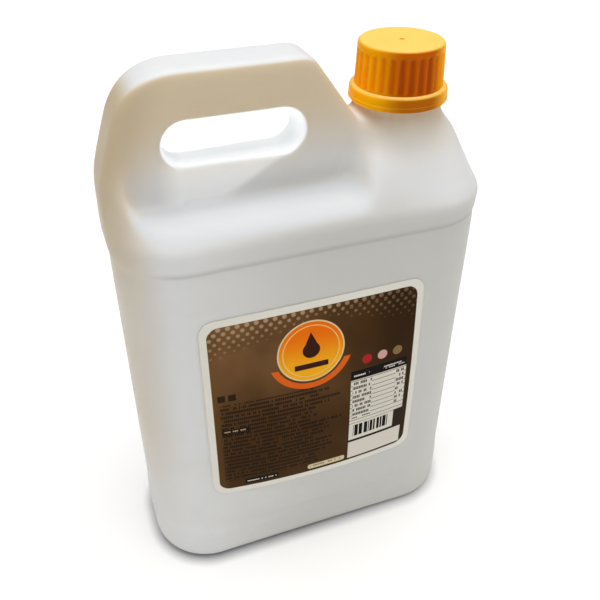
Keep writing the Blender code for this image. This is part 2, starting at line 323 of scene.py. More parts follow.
class Shade:
    """A node tree under construction. Its x, y and z are the place on the piece in millimetres."""

    def __init__(self, name: str) -> None:
        """Start a material that holds its shader, its output and the place.

        Args:
            name: The material's name.
        """
        self.material = bpy.data.materials.new(name)
        self.material.use_nodes = True
        self.tree = self.material.node_tree
        place = self.add("TexCoord", "Object")
        self.where = self.add("VectorMath", "Vector", {"operation": "SCALE"}, i0=place, Scale=1 / MM)
        self.x, self.y, self.z = self.parts(self.where)

    def add(self, kind: str, output: str | int, settings: dict | None = None, **inputs: object) -> Signal:
        """Add a node, set its properties, and set or link its inputs.

        Args:
            kind: The node type after the words Shader Node.
            output: The name or number of the output to carry on from.
            settings: Properties of the node itself.
            **inputs: As for feed.

        Returns:
            The output.
        """
        node = self.tree.nodes.new("ShaderNode" + kind)
        for key, value in (settings or {}).items():
            setattr(node, key, value)
        self.feed(node, **inputs)
        return Signal(self, node, output)

    def feed(self, node: bpy.types.Node, **inputs: object) -> None:
        """Set or link a node's inputs.

        Args:
            node: The node.
            **inputs: A socket's name with spaces as underscores, or a letter and the socket's number,
                and a signal, a hex colour or a plain value.
        """
        for key, value in inputs.items():
            socket = node.inputs[int(key[1:])] if key[1:].isdigit() else node.inputs[key.replace("_", " ")]
            if isinstance(value, Signal):
                self.tree.links.new(value.node.outputs[value.output], socket)
            else:
                socket.default_value = linear(value) if isinstance(value, str) else value

    def parts(self, vector: Signal) -> tuple[Signal, ...]:
        """Give a vector's X, Y and Z."""
        node = self.add("SeparateXYZ", "X", Vector=vector).node
        return tuple(Signal(self, node, axis) for axis in "XYZ")

    def facing_up(self) -> Signal:
        """Give the upward part of the surface's normal."""
        return self.parts(self.add("NewGeometry", "Normal"))[2]

    def blend(self, share: Signal, first: Signal | str, second: Signal | str) -> Signal:
        """Mix two colours by a share."""
        return self.add("Mix", 2, {"data_type": "RGBA"}, i0=share, i6=first, i7=second)

    def noise(self, size: float, detail: float = 2.0, rough: float = 0.5) -> Signal:
        """Give soft noise whose largest spots are about so many millimetres."""
        return self.add("TexNoise", "Fac", Vector=self.where, Scale=1 / size, Detail=detail, Roughness=rough)

    def chance(self, number: Signal) -> Signal:
        """Give a random number of its own to each whole number."""
        return self.add("TexWhiteNoise", "Value", {"noise_dimensions": "1D"}, W=number)

    def finish(self, bump: Signal | None = None, share: float = 0.0, **inputs: object) -> Finish:
        """Feed the shader, with a bump in millimetres where there is one, and give the material.

        Args:
            bump: Height of the bump in millimetres, if it has one.
            share: How much of the bump shows.
            **inputs: The shader's inputs, as for feed.

        Returns:
            The material.
        """
        if bump:
            inputs["Normal"] = self.add("Bump", "Normal", Strength=share, Distance=MM, Height=bump)
        self.feed(self.tree.nodes["Principled BSDF"], **inputs)
        return self.material


# The jug


@dataclass
class Jug:
    """The blow-moulded can: block, shoulder, finger pockets, handle with its slot, and neck."""

    half_width: float = 108.0
    half_depth: float = 48.3
    corner: float = 38.1
    base_round: float = 9.5
    base_hollow: float = 2.2
    base_rim: float = 15.0
    hollow_round: float = 3.0
    rim_round: float = 2.5
    skirt_top: float = 30.9
    panel_top: float = 234.5
    panel_inset: float = 0.6
    front_inset: float = 0.6
    foot_ease: Pair = (3.5, 2.5)
    band_ease: float = 4.0
    front_fades: Pair = (72.0, 100.0)
    crease: float = 234.1
    crease_depth: float = 0.7
    crease_reach: float = 2.4
    crease_fade: Pair = (-99.0, -80.0)
    lip: float = 0.95
    lip_below: float = 6.5
    lip_reach: float = 4.5
    bulge: float = 9.3
    bulge_z: float = 91.5
    bulge_half: float = 90.5
    bulge_rise: float = 121.4
    bulge_drop: float = 63.8
    eaves: float = 247.4
    eaves_round: float = 3.0
    roof_rise: float = 1.15
    ridge: float = 289.0
    ridge_round: float = 15.0
    hip_start: float = 244.5
    hip_inset: float = 19.5
    hip_power: float = 1.35
    hip_softness: float = 1.5
    hip_corner: float = 0.8
    hip_reach: float = 5.0
    lean_start: float = 273.6
    lean_softness: float = 8.2
    lean: float = 0.36
    handle_proud: float = 1.4
    proud_from: Pair = (-5.0, 6.0)
    pocket_floor: float = 254.9
    pocket_left: float = -95.7
    pocket_right: float = 28.3
    pocket_right_lean: float = 0.45
    pocket_left_round: float = 20.0
    pocket_right_round: float = 18.0
    pocket_foot_round: float = 9.0
    pocket_rim: float = 6.0
    web_half: float = 13.1
    bar_half: float = 15.9
    bar_edge: float = 7.0
    handle_top: float = 327.9
    handle_root: float = 246.9
    handle_join: Pair = (0.5, 7.0)
    join_fades: Pair = (-106.0, -94.0)
    handle_left_round: float = 25.0
    handle_right_round: float = 5.5
    slant_top: Pair = (4.6, 327.9)
    slant_foot: Pair = (41.1, 277.7)
    slot_left: float = -75.1
    slot_right: float = 1.0
    slot_floor: float = 277.2
    slot_ceiling: float = 302.4
    slot_rim: float = 3.5
    scoop_left: float = -68.0
    scoop_right: float = -2.0
    scoop_climb: float = -50.0
    scoop_foot: float = 257.5
    scoop_lean: float = 0.13
    scoop_rim: float = 1.5
    neck_x: float = 60.7
    neck_radius: float = 23.7
    neck_top: float = 303.4
    neck_foot: float = 255.0
    neck_fillet: float = 9.5
    pitch: float = 1.75

    def pillow(self, x: Array, z: Array) -> Array:
        """How far the panel swells outward: the bulge times one less x squared, times one less z squared.

        Below the fullest height z is cubed instead. Each dome is eased where it comes to nought.

        Args:
            x: Places across.
            z: Heights.

        Returns:
            The swell in millimetres.
        """

        def dome(value: Array, softness: float) -> Array:
            """Ease a value where it comes to nought."""
            return soft_positive(value, softness) - 0.5 * softness

        across = dome(1 - (x / self.bulge_half) ** 2, 0.12)
        above = dome(1 - (np.maximum(z - self.bulge_z, 0) / self.bulge_rise) ** 2, 0.06)
        below = dome(1 - (np.maximum(self.bulge_z - z, 0) / self.bulge_drop) ** 3, 0.06)
        return self.bulge * across * np.minimum(above, below)

    def panel_front(self, x: Array, z: Array) -> Array:
        """How far the front panel's surface is from the middle plane."""
        return self.half_depth - self.panel_inset - self.front_inset + self.pillow(x, z)

    def handle_side(self, z: Array) -> Array:
        """X of the handle end at a height: proud of the body above the crease, then leaning in."""
        proud = self.handle_proud * ramp(z - self.panel_top, *self.proud_from)
        return self.lean * soft_positive(z - self.lean_start, self.lean_softness) - self.half_width - proud

    def block(self, x: Array, y: Array, z: Array) -> Array:
        """The can without its pockets: at each height the distance to a rounded rectangle.

        The rectangle narrows to a roof over the eaves and to a hip at the cap's end. Its long sides bow
        out with the pillow. The panel between skirt and band is a little narrower, with a shallow
        crease of bell section at the band.

        Args:
            x: Places across.
            y: Places in depth.
            z: Heights.

        Returns:
            The field, negative inside.
        """
        roof = soft_positive(z - self.eaves, self.eaves_round) / self.roof_rise
        depth = self.half_depth - roof
        climb = soft_positive(z - self.hip_start, self.hip_softness) / (self.ridge - self.hip_start)
        left, right = self.handle_side(z), self.half_width - self.hip_inset * climb**self.hip_power
        right = right + self.hip_corner * np.exp(-(((z - self.eaves + 1) / self.hip_reach) ** 2))
        corner = melt_min(self.corner - 0.2 * roof, depth - 0.5, 8.0)
        wide = np.abs(x - 0.5 * (left + right)) - (0.5 * (right - left) - corner)
        deep = np.abs(y) - self.pillow(x, z) - (depth - corner)
        inner = np.minimum(np.maximum(wide, deep), 0)
        flat = np.hypot(np.maximum(wide, 0), np.maximum(deep, 0)) + inner - corner
        panel = ramp(z, self.skirt_top - self.foot_ease[0], self.skirt_top + self.foot_ease[1])
        panel = panel * (1 - ramp(z, self.panel_top - self.band_ease, self.panel_top + self.band_ease))
        front = 1 - ramp(np.abs(x), *self.front_fades)
        flat = flat + panel * (self.panel_inset + self.front_inset * front)
        crease = self.crease_depth * ramp(x, *self.crease_fade)
        flat = flat + crease * np.exp(-(((z - self.crease) / self.crease_reach) ** 2))
        low = z - self.skirt_top + self.lip_below
        flat = flat - self.lip * front * np.exp(-((low / self.lip_reach) ** 2))
        flat = flat * (1 - 0.24 * ramp(z, self.eaves - 1, self.eaves + 5))
        shape = melt_max(melt_max(flat, z - self.ridge, self.ridge_round), -z, self.base_round)
        hollow = melt_max(flat + self.base_rim, z - self.base_hollow, self.hollow_round)
        return melt_max(shape, -hollow, self.rim_round)

    def pocket(self, x: Array, out: Array, z: Array) -> Array:
        """A finger pocket: bounded by the web, a floor, a left wall and a right wall that leans out.

        Args:
            x: Places across.
            out: Distances from the middle plane.
            z: Heights.

        Returns:
            The field, negative in the hollow.
        """
        thicker = np.maximum(z - self.slot_floor, 0) / (self.slot_ceiling - self.slot_floor)
        web = self.web_half + (self.bar_half - self.web_half) * thicker
        right = self.pocket_right + self.pocket_right_lean * (z - self.pocket_floor)
        shell = melt_max(self.pocket_left - x, self.pocket_floor - z, self.pocket_left_round)
        core = melt_max(web - out, x - right, self.pocket_right_round)
        return melt_max(shell, core, self.pocket_foot_round)

    def handle(self, x: Array, out: Array, z: Array) -> Array:
        """The handle's plate: bounded by its leaning side, its top, the slant and its two faces.

        Args:
            x: Places across.
            out: Distances from the middle plane.
            z: Heights.

        Returns:
            The field, negative in the plate.
        """
        (top_x, top_z), (foot_x, foot_z) = self.slant_top, self.slant_foot
        length = math.hypot(foot_x - top_x, foot_z - top_z)
        slant = ((x - top_x) * (top_z - foot_z) + (z - top_z) * (foot_x - top_x)) / length
        outline = melt_max(0.95 * (self.handle_side(z) - x), z - self.handle_top, self.handle_left_round)
        outline = melt_max(outline, slant, self.handle_right_round)
        outline = np.maximum(np.maximum(outline, x - foot_x), self.handle_root - z)
        return melt_max(outline, out - self.bar_half, self.bar_edge)

    def slot(self, x: Array, z: Array) -> Array:
        """The finger slot: the distance to the line between its two centres, less its radius.

        Args:
            x: Places across.
            z: Heights.

        Returns:
            The field, negative in the slot.
        """
        radius = 0.5 * (self.slot_ceiling - self.slot_floor)
        beside = x - np.clip(x, self.slot_left + radius, self.slot_right - radius)
        return np.hypot(beside, z - 0.5 * (self.slot_ceiling + self.slot_floor)) - radius

    def web_foot(self, x: Array) -> Array:
        """Height of the scoop's lower edge: level on the left, then climbing to the slot on the right."""
        climb = ramp(x, self.scoop_climb, self.scoop_right)
        return self.scoop_foot + (self.slot_floor - self.scoop_foot) * climb

    def scoop(self, x: Array, out: Array, z: Array) -> Array:
        """The shallow scoop under the slot: from its lower edge the web leans back by a steady share.

        Args:
            x: Places across.
            out: Distances from the middle plane.
            z: Heights.

        Returns:
            The field, negative in the hollow.
        """
        lean = self.web_half + 0.2 - self.scoop_lean * (z - self.web_foot(x)) - out
        aside = melt_max(self.scoop_left - x, z - self.slot_floor - 5, 3.0)
        aside = np.maximum(aside, x - self.scoop_right - 2)
        return melt_max(melt_max(self.web_foot(x) - z, aside, 2.0), lean, 2.0)

    def distance(self, x: Array, y: Array, z: Array) -> Array:
        """The whole jug, negative inside: the block joined to the handle, cut, and joined to the neck.

        Args:
            x: Places across.
            y: Places in depth.
            z: Heights.

        Returns:
            The field.
        """
        out = np.abs(y)
        shape = self.block(x, y, z)
        least, more = self.handle_join
        join = least + more * ramp(x, *self.join_fades)
        shape = melt_min(shape, self.handle(x, out, z), join)
        shape = melt_max(shape, -self.pocket(x, out, z), self.pocket_rim)
        shape = melt_max(shape, -self.scoop(x, out, z), self.scoop_rim)
        shape = melt_max(shape, -self.slot(x, z), self.slot_rim)
        neck = np.hypot(x - self.neck_x, y) - self.neck_radius
        neck = np.maximum(neck, np.maximum(z - self.neck_top, self.neck_foot - z))
        return melt_min(shape, neck, self.neck_fillet)

    def build(self, finish: Finish) -> None:
        """Mesh the jug's level surface and put it in the place of the CAD jug.

        Args:
            finish: The jug's material.
        """
        low = np.array([-self.half_width - 4, -self.half_depth - self.bulge - 2, -3.0])
        high = np.array([self.half_width + 3, self.half_depth + self.bulge + 2, self.handle_top + 3])
        points, faces = level_surface(self.distance, low, high, self.pitch)
        hand_over(make_object("jug_skin", points, faces), finish, "jug")


def hand_over(piece: bpy.types.Object, finish: Finish, node: str) -> None:
    """Dress a piece, put it in the place of its CAD node, and log it.

    Args:
        piece: The finished piece.
        finish: Its material.
        node: The CAD node that it stands for.
    """
    piece.data.materials.append(finish)
    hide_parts(node)
    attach(piece, ROOT)
    mesh = piece.data
    log.info("%s for %s: %d points, %d faces", piece.name, node, len(mesh.vertices), len(mesh.polygons))


# The closure


@dataclass
class Closure:
    """The ribbed screw cap and the tamper ring under it, on the neck's axis."""

    axis_x: float = 60.7
    foot: float = 303.75
    top: float = 326.9
    foot_radius: float = 24.5
    head_radius: float = 23.5
    edge_round: float = 2.2
    gate_radius: float = 0.85
    gate_depth: float = 0.9
    ribs: int = 28
    rib_depth: float = 1.1
    first_rib: float = -95.0
    rib_steps: int = 14
    ring_bottom: float = 295.7
    ring_top: float = 303.6
    ring_radius: float = 27.5
    ring_bore: float = 24.0
    ring_steps: int = 144

    def cap(self, finish: Finish) -> None:
        """Build the cap: a turned profile whose wall steps in between the ribs.

        The groove's share is half of one less the cosine of the turn times the number of ribs, raised
        to a power that narrows the ridges.

        Args:
            finish: The cap's material.
        """
        bend = np.radians(np.linspace(0, 90, 9))
        shoulder_r = self.head_radius - self.edge_round + self.edge_round * np.cos(bend)
        shoulder_z = self.top - self.edge_round + self.edge_round * np.sin(bend)
        wall_z = np.concatenate([[self.foot + 0.15], np.linspace(self.foot + 1.0, self.top - 6.5, 8)])
        wall_z = np.concatenate([wall_z, np.linspace(self.top - 5.9, self.top - self.edge_round - 0.3, 9)])
        taper = (wall_z - self.foot) / (self.top - self.foot)
        wall_r = self.foot_radius + (self.head_radius - self.foot_radius) * taper
        in_r = np.array([19.0, 14.0, 8.0, 3.0, self.gate_radius + 0.3, self.gate_radius, 0.3])
        in_z = self.top - np.array([0.06, 0.13, 0.17, 0.18, 0.2, self.gate_depth, self.gate_depth + 0.1])
        foot_r = self.foot_radius - np.array([1.2, 0.15])
        radius = np.concatenate([foot_r, wall_r, shoulder_r, in_r])
        height = np.concatenate([[self.foot, self.foot], wall_z, shoulder_z, in_z])
        steps = self.ribs * self.rib_steps
        turn = np.linspace(0, 2 * math.pi, steps, endpoint=False)
        groove = (0.5 - 0.5 * np.cos(self.ribs * (turn - math.radians(self.first_rib)))) ** 0.75
        share = ramp(height, self.foot + 0.2, self.foot + 1.0)
        share = share * (1 - ramp(height, self.top - 5.6, self.top - 2.6))
        around = radius[:, None] - self.rib_depth * share[:, None] * groove[None, :]
        x, y = self.axis_x + around * np.cos(turn), around * np.sin(turn)
        wall = np.stack([x, y, height[:, None] + 0 * around], axis=-1)
        cap = make_object("screw_cap", *close_poles(wall))
        hand_over(cap, finish, "cap")

    def tamper_ring(self, finish: Finish) -> None:
        """Build the ring: a closed section with a groove and a sloping top, carried round the axis.

        Args:
            finish: The ring's material.
        """
        lip = [(-0.9, 0), (-0.35, 0.15), (0, 0.7), (0, 2.3)]
        groove = [(-0.12, 2.6), (-0.32, 2.8), (-0.36, 3.1), (-0.3, 3.4)]
        slope = [(-0.3, -2.2), (-0.6, -1.2), (-1.3, -0.4), (-2.2, 0)]
        section = np.concatenate(
            [
                np.add((self.ring_bore, self.ring_bottom), [(0, 0.3), (0.3, 0)]),
                np.add((self.ring_radius, self.ring_bottom), lip + groove),
                np.add((self.ring_radius, self.ring_top), slope),
                np.add((self.ring_bore, self.ring_top), [(0.2, 0), (0, -0.2)]),
            ]
        )
        turn = np.linspace(0, 2 * math.pi, self.ring_steps, endpoint=False)
        radius, height = section.T[:, :, None]
        x, y = self.axis_x + radius * np.cos(turn), radius * np.sin(turn)
        wall = np.stack([x, y, height + 0 * turn], axis=-1)
        faces = grid_faces(len(section), self.ring_steps, round_columns=True, round_rows=True)
        ring = make_object("break_off_ring", wall.reshape(-1, 3), faces)
        hand_over(ring, finish, "tamper_ring")


# The label


class Print(Enum):
    """What fills a printed box."""

    PLAIN = "plain"
    DASHES = "dashes"
    RULES = "rules"
    BARS = "bars"


@dataclass(frozen=True)
class Patch:
    """A printed box on the label: its middle and half size in millimetres, and its inks."""

    x: float
    z: float
    half_x: float
    half_z: float
    ink: str = "#000000"
    fill: Print = Print.PLAIN
    second_ink: str = "#000000"
    corner: float = 0.4
    pitch: float = 3.0


@dataclass
class Label:
    """The film label on the swelling front panel, with a pale margin round the dark print."""

    jug: Jug
    left: float = -73.3
    right: float = 63.5
    bottom: float = 68.1
    top: float = 203.9
    corner: float = 9.0
    stand_off: float = 0.5
    thickness: float = 0.35
    columns: int = 121
    rows: int = 141

    def build(self, finish: Finish) -> None:
        """Build the film: each row of points runs between the two edges at its height.

        Near the top and bottom the edges draw in as the corner's circle does. The film follows the
        panel at the stand-off.

        Args:
            finish: The film's material.
        """
        middle, half = 0.5 * (self.top + self.bottom), 0.5 * (self.top - self.bottom)
        z = middle - half * np.cos(np.linspace(0, math.pi, self.rows))
        past = np.maximum(np.abs(z - middle) - (half - self.corner), 0)
        draw_in = self.corner - np.sqrt(np.maximum(self.corner**2 - past**2, 0))
        share = np.linspace(0, 1, self.columns)[None, :]
        low, high = (self.left + draw_in)[:, None], (self.right - draw_in)[:, None]
        x = low + (high - low) * share
        z = z[:, None] + 0 * x
        y = -self.jug.panel_front(x, z) - self.stand_off
        points = np.stack([x, y, z], axis=-1).reshape(-1, 3)
        sheet = make_object("label_film", points, grid_faces(self.rows, self.columns))
        wall = sheet.modifiers.new("thickness", "SOLIDIFY")
        wall.thickness = self.thickness * MM
        wall.offset = -1.0
        hand_over(sheet, finish, "label")


# Finishes


@dataclass(frozen=True)
class WhitePolyethylene:
    """Natural white high-density polyethylene, blow moulded.

    It gives the eye a satin, slightly cloudy skin: soft wide highlights, light that bleeds a little
    under the surface, faint waves where the wall cooled, and a fine line where the mould closed. Its
    colour also holds painted shade toward the right, in the crease and on low ledges, painted warm
    light on the handle, painted amber light under the ring, and a painted glow in the slot and web.
    """

    colour: str = "#EEEFEF"
    cloud: str = "#EBEBEA"
    body_shade: str = "#D5D3CD"
    crease_shade_colour: str = "#9B9B9A"
    ledge_shade: str = "#D9DBDD"
    warm_light: str = "#E3D1B2"
    end_warm_light: str = "#D2BF9E"
    ring_lit: str = "#DDB67C"
    shining: str = "#F7FAFC"
    roughness: float = 0.42
    gloss: float = 0.14
    ior: float = 1.51
    depth_mm: float = 3.0
    bleed: float = 0.2
    wall_glow: float = 0.33
    web_glow: float = 0.18
    cloud_size: float = 38.0
    wave_size: float = 16.0
    grain_size: float = 1.1
    steep: Pair = (0.5, 0.9)
    ledge_shade_fades: Pair = (262.0, 280.0)
    body_shade_fades: Pair = (249.0, 274.0)
    body_shade_along: Pair = (-105.0, 10.0)
    body_shade_share: Pair = (0.15, 0.97)
    neck_relief_along: Pair = (35.0, 80.0)
    neck_relief_above: Pair = (236.0, 256.0)
    neck_relief_share: float = 0.85
    crease_shade_from: Pair = (-1.6, 0.2)
    crease_shade_to: Pair = (0.0, 4.5)
    crease_shade_share: float = 0.36
    end_reach: float = 27.0
    end_rises: Pair = (20.0, 140.0)
    end_eases: Pair = (190.0, 290.0)
    ring_light_reach: Pair = (25.0, 31.0)
    ring_light_rise: Pair = (280.0, 296.0)
    ring_light_share: float = 0.42
    web_foot: Pair = (-1.5, 3.0)
    web_top: Pair = (278.0, 285.0)
    web_left: Pair = (-84.0, -65.0)
    web_right: Pair = (-14.0, -4.0)

    def make(self, jug: Jug) -> Finish:
        """Make the material for a jug, whose sizes place the tints and the mould line.

        Args:
            jug: The jug that it dresses.

        Returns:
            The material.
        """
        shade = Shade("blow_moulded_polyethylene")
        clouds, grain = shade.noise(self.cloud_size, 3.0, 0.55), shade.noise(self.grain_size)
        colour = shade.blend(clouds.smooth(0.4, 0.7), self.colour, self.cloud)
        up = shade.facing_up()
        upright = abs(up).fall(*self.steep)
        wall = self.slot_wall(shade, jug)
        tints = (
            # painted shade: the body is darker toward the right and below the shoulder
            (self.body_shade, self.painted_body_shade(shade)),
            # painted shade in the crease under the band
            (self.crease_shade_colour, self.painted_crease_shade(shade, jug)),
            # painted shade: upward faces below the handle, the pockets' ledges among them, are painted
            # greyer
            (self.ledge_shade, up.smooth(*self.steep) * shade.z.fall(*self.ledge_shade_fades)),
            # painted warm light: the handle's upright faces are tinted tan, as a warm room would light them
            (self.warm_light, upright * shade.z.smooth(jug.pocket_floor, jug.slot_ceiling + 8.0) * (1.0 - wall)),
            # painted warm light on the handle's leaning end
            (self.end_warm_light, upright * self.handle_end(shade, jug)),
            # painted amber light and reflection on the neck under the ring
            (self.ring_lit, self.under_ring(shade, jug)),
        )
        for tint, share in tints:
            colour = shade.blend(share, colour, tint)
        seam = abs(shade.y).smooth(0.25, 0.75, 0.22, 0.0)
        return shade.finish(
            shade.noise(self.wave_size, 1.0) * 0.16 + seam + grain * 0.02,
            0.5,
            Base_Color=colour,
            Roughness=clouds.smooth(0.3, 0.7, self.roughness - 0.04, self.roughness + 0.05),
            IOR=self.ior,
            Specular_IOR_Level=self.gloss,
            Subsurface_Weight=self.bleed,
            Subsurface_Radius=(1.0, 0.85, 0.7),
            Subsurface_Scale=self.depth_mm * MM,
            # painted light: the slot's wall and the pinched web glow white, though the jug is no lamp
            Emission_Color=self.shining,
            Emission_Strength=(wall * self.wall_glow).larger(self.thin_web(shade, jug) * self.web_glow),
        )

    def painted_body_shade(self, shade: Shade) -> Signal:
        """Give the share of painted shade, most below the shoulder to the right and least near the neck.

        Args:
            shade: The material under construction.

        Returns:
            The share.
        """
        full = shade.x.smooth(*self.body_shade_along, *self.body_shade_share) * shade.z.fall(*self.body_shade_fades)
        near_neck = shade.x.smooth(*self.neck_relief_along) * shade.z.smooth(*self.neck_relief_above)
        return full * (1.0 - near_neck * self.neck_relief_share)

    def painted_crease_shade(self, shade: Shade, jug: Jug) -> Signal:
        """Give the share of painted shade in the crease, stronger on its upper side.

        Args:
            shade: The material under construction.
            jug: The jug that it dresses.

        Returns:
            The share.
        """
        above = shade.z - jug.crease
        across = above.smooth(*self.crease_shade_from) * above.smooth(*self.crease_shade_to, self.crease_shade_share, 0.0)
        return across * shade.x.smooth(*jug.crease_fade)

    def handle_end(self, shade: Shade, jug: Jug) -> Signal:
        """Give the share of painted warm light by the distance in from the handle's leaning end.

        Args:
            shade: The material under construction.
            jug: The jug that it dresses.

        Returns:
            The share.
        """
        leaned = (shade.z - jug.lean_start).larger(0.0) * jug.lean
        inward = shade.x - leaned + (jug.half_width + jug.handle_proud)
        high = shade.z.smooth(*self.end_rises, 0.15, 1.0) * shade.z.smooth(*self.end_eases, 0.6, 1.0)
        return inward.fall(0.0, self.end_reach) * high

    def under_ring(self, shade: Shade, jug: Jug) -> Signal:
        """Give the share of painted amber light on the neck under the ring, streaked as painted reflection.

        Args:
            shade: The material under construction.
            jug: The jug that it dresses.

        Returns:
            The share.
        """
        side = shade.x - jug.neck_x
        near = span(side, shade.y).smooth(*self.ring_light_reach, self.ring_light_share, 0.0)
        near = near * shade.z.smooth(*self.ring_light_rise)
        turn = shade.y.turn_from(side) * 5.0
        streak = shade.add("TexNoise", "Fac", {"noise_dimensions": "1D"}, W=turn, Scale=1.0, Detail=1.0)
        return near * streak.smooth(0.35, 0.65, 0.65, 1.0)

    def slot_wall(self, shade: Shade, jug: Jug) -> Signal:
        """Give one on the wall of the finger slot, where the distance to its middle line is its radius.

        Args:
            shade: The material under construction.
            jug: The jug that it dresses.

        Returns:
            The mask.
        """
        radius = 0.5 * (jug.slot_ceiling - jug.slot_floor)
        beside = shade.x - shade.x.larger(jug.slot_left + radius).smaller(jug.slot_right - radius)
        away = span(beside, shade.z - (jug.slot_floor + radius))
        return away.fall(radius + 0.3, radius + 1.6)

    def thin_web(self, shade: Shade, jug: Jug) -> Signal:
        """Give one where the pinched web glows with painted light, from the scoop's lower edge to the slot.

        Args:
            shade: The material under construction.
            jug: The jug that it dresses.

        Returns:
            The mask.
        """
        foot = shade.x.smooth(jug.scoop_climb, jug.scoop_right, jug.scoop_foot, jug.slot_floor)
        patch = (shade.z - foot).smooth(*self.web_foot) * shade.z.fall(*self.web_top)
        patch = patch * shade.x.smooth(*self.web_left) * shade.x.fall(*self.web_right)
        return patch * (abs(shade.y) < jug.bar_half + 1.0)


@dataclass(frozen=True)
class AmberPolyethylene:
    """Pigmented polyethylene, injection moulded and glossy.

    It gives the eye a bright amber. Painted shade deepens it to orange in the grooves, and a faint
    painted glow of its own colour stands in for light that passes a little way into the ridges.
    """

    lit_crown: str = "#FDD069"
    lit_side: str = "#FFB000"
    shaded_side: str = "#BF5A00"
    lit_groove: str = "#FF9200"
    groove_shade_and_flow: str = "#A34400"
    lit_ring: str = "#F8AE00"
    shaded_ring: str = "#B06000"
    dimple_shade: str = "#8C5A10"
    roughness: float = 0.26
    ior: float = 1.49
    gloss: float = 0.04
    glow: float = 0.15
    side_shade_from: Pair = (-25.0, -9.0)
    side_shade_to: Pair = (6.0, 19.0)
    level: Pair = (0.35, 0.97)

    def make(self, closure: Closure) -> Finish:
        """Make the material: a pale top, deep orange between the ribs, and a fine moulded grain.

        The pale top is painted light and the deep orange painted shade. Painted shade also darkens the
        side to the front and the back, and painted light brightens it toward the handle and away from it.

        Args:
            closure: The cap and ring that it dresses.

        Returns:
            The material.
        """
        shade = Shade("moulded_polyethylene")
        z, top, gate = shade.z, closure.top, closure.gate_radius
        flow, grain = shade.noise(9.0), shade.noise(0.8, 1.0)
        side = shade.x - closure.axis_x
        radius = span(side, shade.y)
        # painted light and shade: the share of the shaded copies, toward the front and the back
        dark = side.smooth(*self.side_shade_from) * side.fall(*self.side_shade_to)
        taper = z.smooth(closure.foot, top, closure.foot_radius, closure.head_radius)
        sunk = (taper - radius).smooth(0.1, closure.rib_depth) * z.fall(top - 3.5, top - 1.5)
        rib = shade.blend(dark, self.lit_side, self.shaded_side)
        groove = shade.blend(dark, self.lit_groove, self.groove_shade_and_flow)
        ring = shade.blend(dark, self.lit_ring, self.shaded_ring)
        # painted shade: the grooves between the ribs take the darker groove colours
        colour = shade.blend(sunk, rib, groove)
        colour = shade.blend(z.smooth(closure.ring_top - 0.1, closure.ring_top + 0.1), ring, colour)
        # painted light: faces turned upward take the pale lit colour of the top
        colour = shade.blend(shade.facing_up().smooth(*self.level), colour, self.lit_crown)
        # painted shade in the gate's small pit at the middle of the top
        colour = shade.blend(radius.smooth(gate, gate + 0.5, 0.85, 0.0), colour, self.dimple_shade)
        # faint random patches of the groove colour, where the plastic flowed
        colour = shade.blend(flow.smooth(0.4, 0.75, 0.0, 0.05), colour, self.groove_shade_and_flow)
        return shade.finish(
            grain * 0.004,
            0.15,
            Base_Color=colour,
            Roughness=flow.smooth(0.3, 0.7, self.roughness - 0.03, self.roughness + 0.05),
            IOR=self.ior,
            Specular_IOR_Level=self.gloss,
            # painted glow: the cap gives out light of its own colour, though it is no lamp
            Emission_Color=colour,
            Emission_Strength=self.glow,
        )


